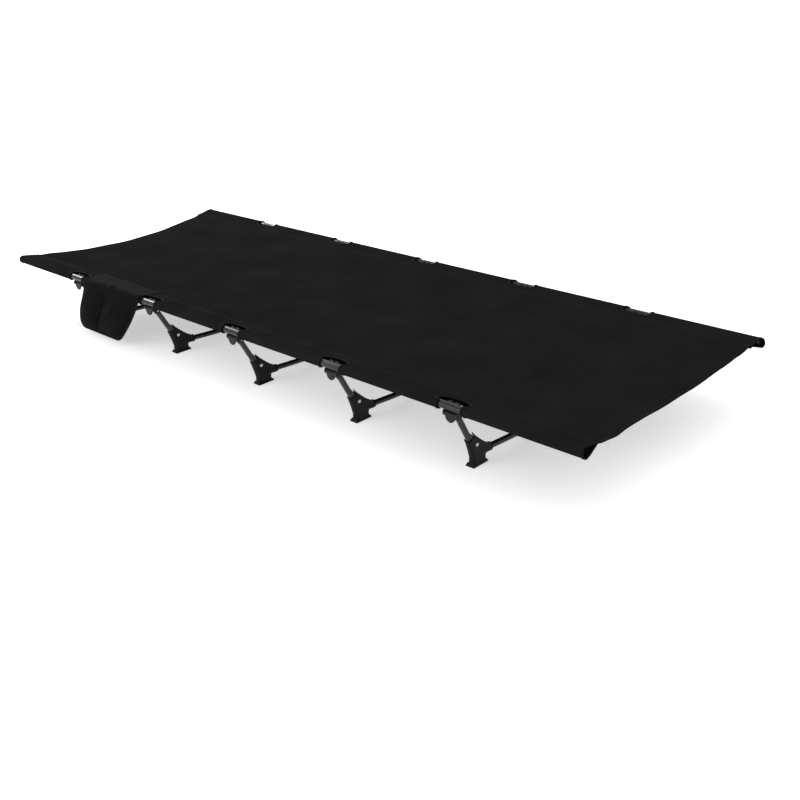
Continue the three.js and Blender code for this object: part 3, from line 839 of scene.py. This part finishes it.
POLE_R = (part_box("cross_pole_1")[1].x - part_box("cross_pole_1")[0].x) / 2
POLE_BORE = POLE_R - 1.2 * MM
POLE_SIDES = 32
RAIL_BORE = RAIL_R - 1.3 * MM
RAIL_SIDES = 40
# Rail end plug, in mm: radius and distance past the rail's end, from its face to the end of its stem.
PLUG_PROFILE = [(4.5, 3.0), (6.6, 2.3), (7.4, 1.0), (7.4, 0.1), (6.5, 0.1), (6.4, -14), (5.6, -15)]
PLUG_SIDES = 32
plug_turn = np.linspace(0, 2 * np.pi, PLUG_SIDES, endpoint=False)
for side, rail_y in (("near", NEAR_Y), ("far", FAR_Y)):
    line = np.column_stack([np.linspace(-RAIL_END, RAIL_END, 9), np.full(9, rail_y), np.full(9, RAIL_Z)])
    placed(f"rail_{side}_tube", *tube(line, RAIL_R, RAIL_BORE, RAIL_SIDES), RAIL_METAL, "bed", "rail_tube",
           [f"rail_{side}"])
    for end, tag in ((-1, "head"), (1, "foot")):
        rings = [np.column_stack([np.full(PLUG_SIDES, end * (RAIL_END + x * MM)),
                                  rail_y + r * MM * np.cos(plug_turn),
                                  RAIL_Z + r * MM * np.sin(plug_turn)]) for r, x in PLUG_PROFILE]
        verts, faces = closed_rings(rings, end > 0)
        placed(f"rail_plug_{side}_{tag}", verts, faces, CLAMP_PLASTIC, "bed", "clamp_plastic")

for leg in LEGS:
    path = smooth_path(centreline(f"cross_pole_{leg}"), 6)
    placed(f"cross_pole_{leg}_tube", *tube(path, POLE_R, POLE_BORE, POLE_SIDES), POLE_METAL,
           f"leg_{leg}", "pole_tube", [f"cross_pole_{leg}"])


FACES_KEPT = 0.22  # share of a moulding's faces kept after it is remeshed


def remeshed(node, voxel, rounds):
    """A moulded look for a faceted CAD solid: even small faces, relaxed so that every edge is rounded."""
    source = bpy.data.objects.new("remesh_source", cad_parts[node].data.copy())
    bpy.context.scene.collection.objects.link(source)
    remesh = source.modifiers.new("remesh", "REMESH")
    remesh.mode = "VOXEL"
    remesh.voxel_size = voxel
    relax = source.modifiers.new("relax", "SMOOTH")
    relax.factor = 0.5
    relax.iterations = rounds
    thin = source.modifiers.new("thin", "DECIMATE")
    thin.ratio = FACES_KEPT
    graph = bpy.context.evaluated_depsgraph_get()
    mesh = bpy.data.meshes.new_from_object(source.evaluated_get(graph))
    bpy.data.objects.remove(source)
    verts = np.array([v.co for v in mesh.vertices])
    return verts, [tuple(p.vertices) for p in mesh.polygons]


def dome(centre, radius, height, sides, axis):
    """A low domed rivet head whose flat base is at centre, facing along axis (+1 or -1 on x)."""
    turn = np.linspace(0, 2 * np.pi, sides, endpoint=False)
    profile = [(1.0, -0.4), (1.0, 0.25), (0.94, 0.55), (0.74, 0.82), (0.4, 0.97)]
    rings = [np.column_stack([np.full(sides, centre[0] + axis * h * height),
                              centre[1] + r * radius * np.cos(turn),
                              centre[2] + r * radius * np.sin(turn)]) for r, h in profile]
    return closed_rings(rings, axis < 0)


STRUT_LEAN = math.radians(29)
TUBE_UP = 9 * MM  # the strut tube starts this far above the pivot
TUBE_TOP_DOWN = 19 * MM  # and ends this far below the rail
KNUCKLE_R = 5.6 * MM
KNUCKLE_HALF = 6.2 * MM  # half its thickness along the cot
KNUCKLE_NECK = [(14, -6.2), (14, 6.2), (-1, 6.2)]  # in mm, above the pivot and across the strut
KNUCKLE_EASE = 0.9 * MM
STRUT_UP = np.array([0, -math.sin(STRUT_LEAN), math.cos(STRUT_LEAN)])


def strut_axis_top(node):
    points = node_points(node)
    height = points @ STRUT_UP
    return points[height > height.max() - 0.05 * MM].mean(0)


def strut_solids(leg):
    """Strut tube and its knuckle round the pivot, on the near side of a leg set."""
    pivot = sum(map(np.array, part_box(f"rivet_{leg}_near"))) / 2
    top = strut_axis_top(f"strut_{leg}_near")
    run = (top - pivot) @ STRUT_UP
    foot = top - STRUT_UP * (run - TUBE_UP)
    skin = tube(np.linspace(foot, top, 6), POLE_R, POLE_BORE, POLE_SIDES)
    middle = top - STRUT_UP * run
    out = np.cross(STRUT_UP, [1, 0, 0])
    turn = np.radians(np.linspace(-151, 61, 22))
    eye = [pivot[1:] + KNUCKLE_R * np.array([math.cos(a), math.sin(a)]) for a in turn]
    neck = [(middle + STRUT_UP * up * MM + out * across * MM)[1:] for up, across in KNUCKLE_NECK]
    outline = np.array(eye + neck)
    return skin, plate(outline, pivot[0] - KNUCKLE_HALF, pivot[0] + KNUCKLE_HALF, KNUCKLE_EASE)


def plate(outline, x0, x1, ease):
    """A prism along x with eased edges, from a closed outline of (y, z) points."""
    middle = outline.mean(0)
    along = np.roll(outline, -1, 0) - np.roll(outline, 1, 0)
    out = np.column_stack([along[:, 1], -along[:, 0]]) / np.linalg.norm(along, axis=1)[:, None]
    out *= np.sign(np.einsum("ij,ij->i", out, outline - middle).sum())
    layers = [(x0, ease), (x0 + 0.3 * ease, 0.3 * ease), (x0 + ease, 0), (x1 - ease, 0),
              (x1 - 0.3 * ease, 0.3 * ease), (x1, ease)]
    rings = [np.column_stack([np.full(len(outline), x), outline - out * pull]) for x, pull in layers]
    return closed_rings(rings, turn_area(outline) < 0)


PIN_DOWN = 14.2 * MM  # lever hinge below the rail centre
TONGUE_NARROW = 0.8
TONGUE_SHORT = 0.78


def slim_tongue(moulding):
    """The lever's tongue, narrower and shorter below its hinge."""
    verts, faces = moulding
    middle = LEG_X[0]
    below = np.maximum(RAIL_Z - PIN_DOWN - verts[:, 2], 0)
    narrow = 1 - (1 - TONGUE_NARROW) * np.clip((below - 2.4 * MM) / (3.5 * MM), 0, 1)
    verts[:, 0] = middle + (verts[:, 0] - middle) * narrow
    verts[:, 2] += (1 - TONGUE_SHORT) * below
    return verts, faces


MOULDED = {
    "hub": (remeshed("hub_1_near", 0.55 * MM, 7), HUB_PLASTIC, "leg_{leg}", "hub_plastic"),
    "clamp": (remeshed("clamp_1_near", 0.45 * MM, 5), CLAMP_PLASTIC, "strut_{leg}_{side}", "clamp_plastic"),
    "lever": (slim_tongue(remeshed("lever_1_near", 0.4 * MM, 7)), LEVER_PLASTIC, "lever_{leg}_{side}",
              "lever_plastic"),
}
COLLAR_R = 8.6 * MM
TOP_RIVET_DOWN = 26 * MM  # below the rail along the strut
RIVET_R = 4.3 * MM
RIVET_HIGH = 1.5 * MM
TOP_RIVET_R = 2.6 * MM
TOP_RIVET_HIGH = 1.4 * MM

for leg, leg_x in zip(LEGS, LEG_X):
    shift = np.array([leg_x - LEG_X[0], 0, 0])
    rivet_low, rivet_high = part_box(f"rivet_{leg}_near")
    pivot = (rivet_low + rivet_high) / 2
    top = strut_axis_top(f"strut_{leg}_near")
    pin = top + STRUT_UP * (TUBE_TOP_DOWN - TOP_RIVET_DOWN)
    for side in SIDES:
        for kind, ((verts, faces), look, body, slot_name) in MOULDED.items():
            placed(f"{kind}_{leg}_{side}_moulding", on_side(verts + shift, side, leg_x), faces, look,
                   body.format(leg=leg, side=side), slot_name, [f"{kind}_{leg}_{side}"])
        verts, faces = joined(strut_solids(leg))
        placed(f"strut_{leg}_{side}_tube", on_side(verts, side, leg_x), faces, POLE_METAL,
               f"strut_{leg}_{side}", "pole_tube", [f"strut_{leg}_{side}"])
        out = rivet_high.x - pivot.x - RIVET_HIGH
        heads = [dome((pivot.x + end * out, pivot.y, pivot.z), RIVET_R, RIVET_HIGH, 24, end)
                 for end in (-1, 1)]
        verts, faces = joined(heads)
        placed(f"rivet_{leg}_{side}_heads", on_side(verts, side, leg_x), faces, STEEL,
               f"leg_{leg}", "rivet_steel", [f"rivet_{leg}_{side}"])
        out = COLLAR_R - 0.2 * MM
        small = [dome((pin[0] + end * out, pin[1], pin[2]), TOP_RIVET_R, TOP_RIVET_HIGH, 16, end)
                 for end in (-1, 1)]
        verts, faces = joined(small)
        placed(f"strut_rivet_{leg}_{side}", on_side(verts, side, leg_x), faces, STEEL,
               f"strut_{leg}_{side}", "rivet_steel")

# ---- Stage, light and camera ----
FLOOR_REACH = 40
FLOOR_GLOW = 0.5
corners = [(x * FLOOR_REACH, y * FLOOR_REACH, 0) for x, y in ((-1, -1), (1, -1), (1, 1), (-1, 1))]
FLOOR_PAINT = hard_surface("floor_paint", (0.8, 0.8, 0.8), (0.82, 0.82, 0.82),
                           roughness=0.9, metallic=0, grain=40, bump=0.02, specular=0.1)
glow = FLOOR_PAINT.node_tree.nodes["Principled BSDF"].inputs
glow["Emission Color"].default_value = (1, 1, 1, 1)
glow["Emission Strength"].default_value = FLOOR_GLOW
floor = add_mesh("floor", corners, [(0, 1, 2, 3)], FLOOR_PAINT)

world = bpy.data.worlds.new("studio")
world.use_nodes = True
world.node_tree.nodes["Background"].inputs["Color"].default_value = (1, 1, 1, 1)
world.node_tree.nodes["Background"].inputs["Strength"].default_value = 1.0
bpy.context.scene.world = world
bpy.context.scene.view_settings.view_transform = "Standard"


def add_softbox(name, place, target, size, power):
    light = bpy.data.lights.new(name, "AREA")
    light.shape = "RECTANGLE"
    light.size = size[0]
    light.size_y = size[1]
    light.energy = power
    lamp = bpy.data.objects.new(name, light)
    lamp.location = place
    lamp.rotation_euler = (Vector(target) - Vector(place)).to_track_quat("-Z", "Y").to_euler()
    bpy.context.scene.collection.objects.link(lamp)


add_softbox("head_light", (-3.6, 0.3, 2.4), (-0.4, -0.2, 0.1), (1.3, 0.6), 110)
add_softbox("near_light", (-0.8, -3.0, 1.2), (0, -0.3, 0.1), (2.4, 0.5), 25)

CAMERA_AZIMUTH = math.radians(43.684)  # round from the near side towards the foot
CAMERA_HEIGHT = math.radians(24.212)
CAMERA_ROLL = math.radians(-1.879)
CAMERA_AWAY = 2.1307
CAMERA_LENS = 46.98  # in mm, on a sensor 36 mm wide
CAMERA_TARGET = Vector((0.47877, MID_Y - 0.29089, 0.1))
camera = bpy.data.objects.new("camera", bpy.data.cameras.new("camera"))
camera.data.lens = CAMERA_LENS
camera.data.sensor_width = 36
back = Vector((math.sin(CAMERA_AZIMUTH) * math.cos(CAMERA_HEIGHT),
               -math.cos(CAMERA_AZIMUTH) * math.cos(CAMERA_HEIGHT), math.sin(CAMERA_HEIGHT)))
camera.location = CAMERA_TARGET + back * CAMERA_AWAY
level = Vector((0, 0, 1)).cross(back).normalized()
turned = Matrix((level, back.cross(level), back)).transposed()
camera.rotation_euler = (turned @ Matrix.Rotation(CAMERA_ROLL, 3, "Z")).to_euler()
bpy.context.scene.collection.objects.link(camera)
bpy.context.scene.camera = camera
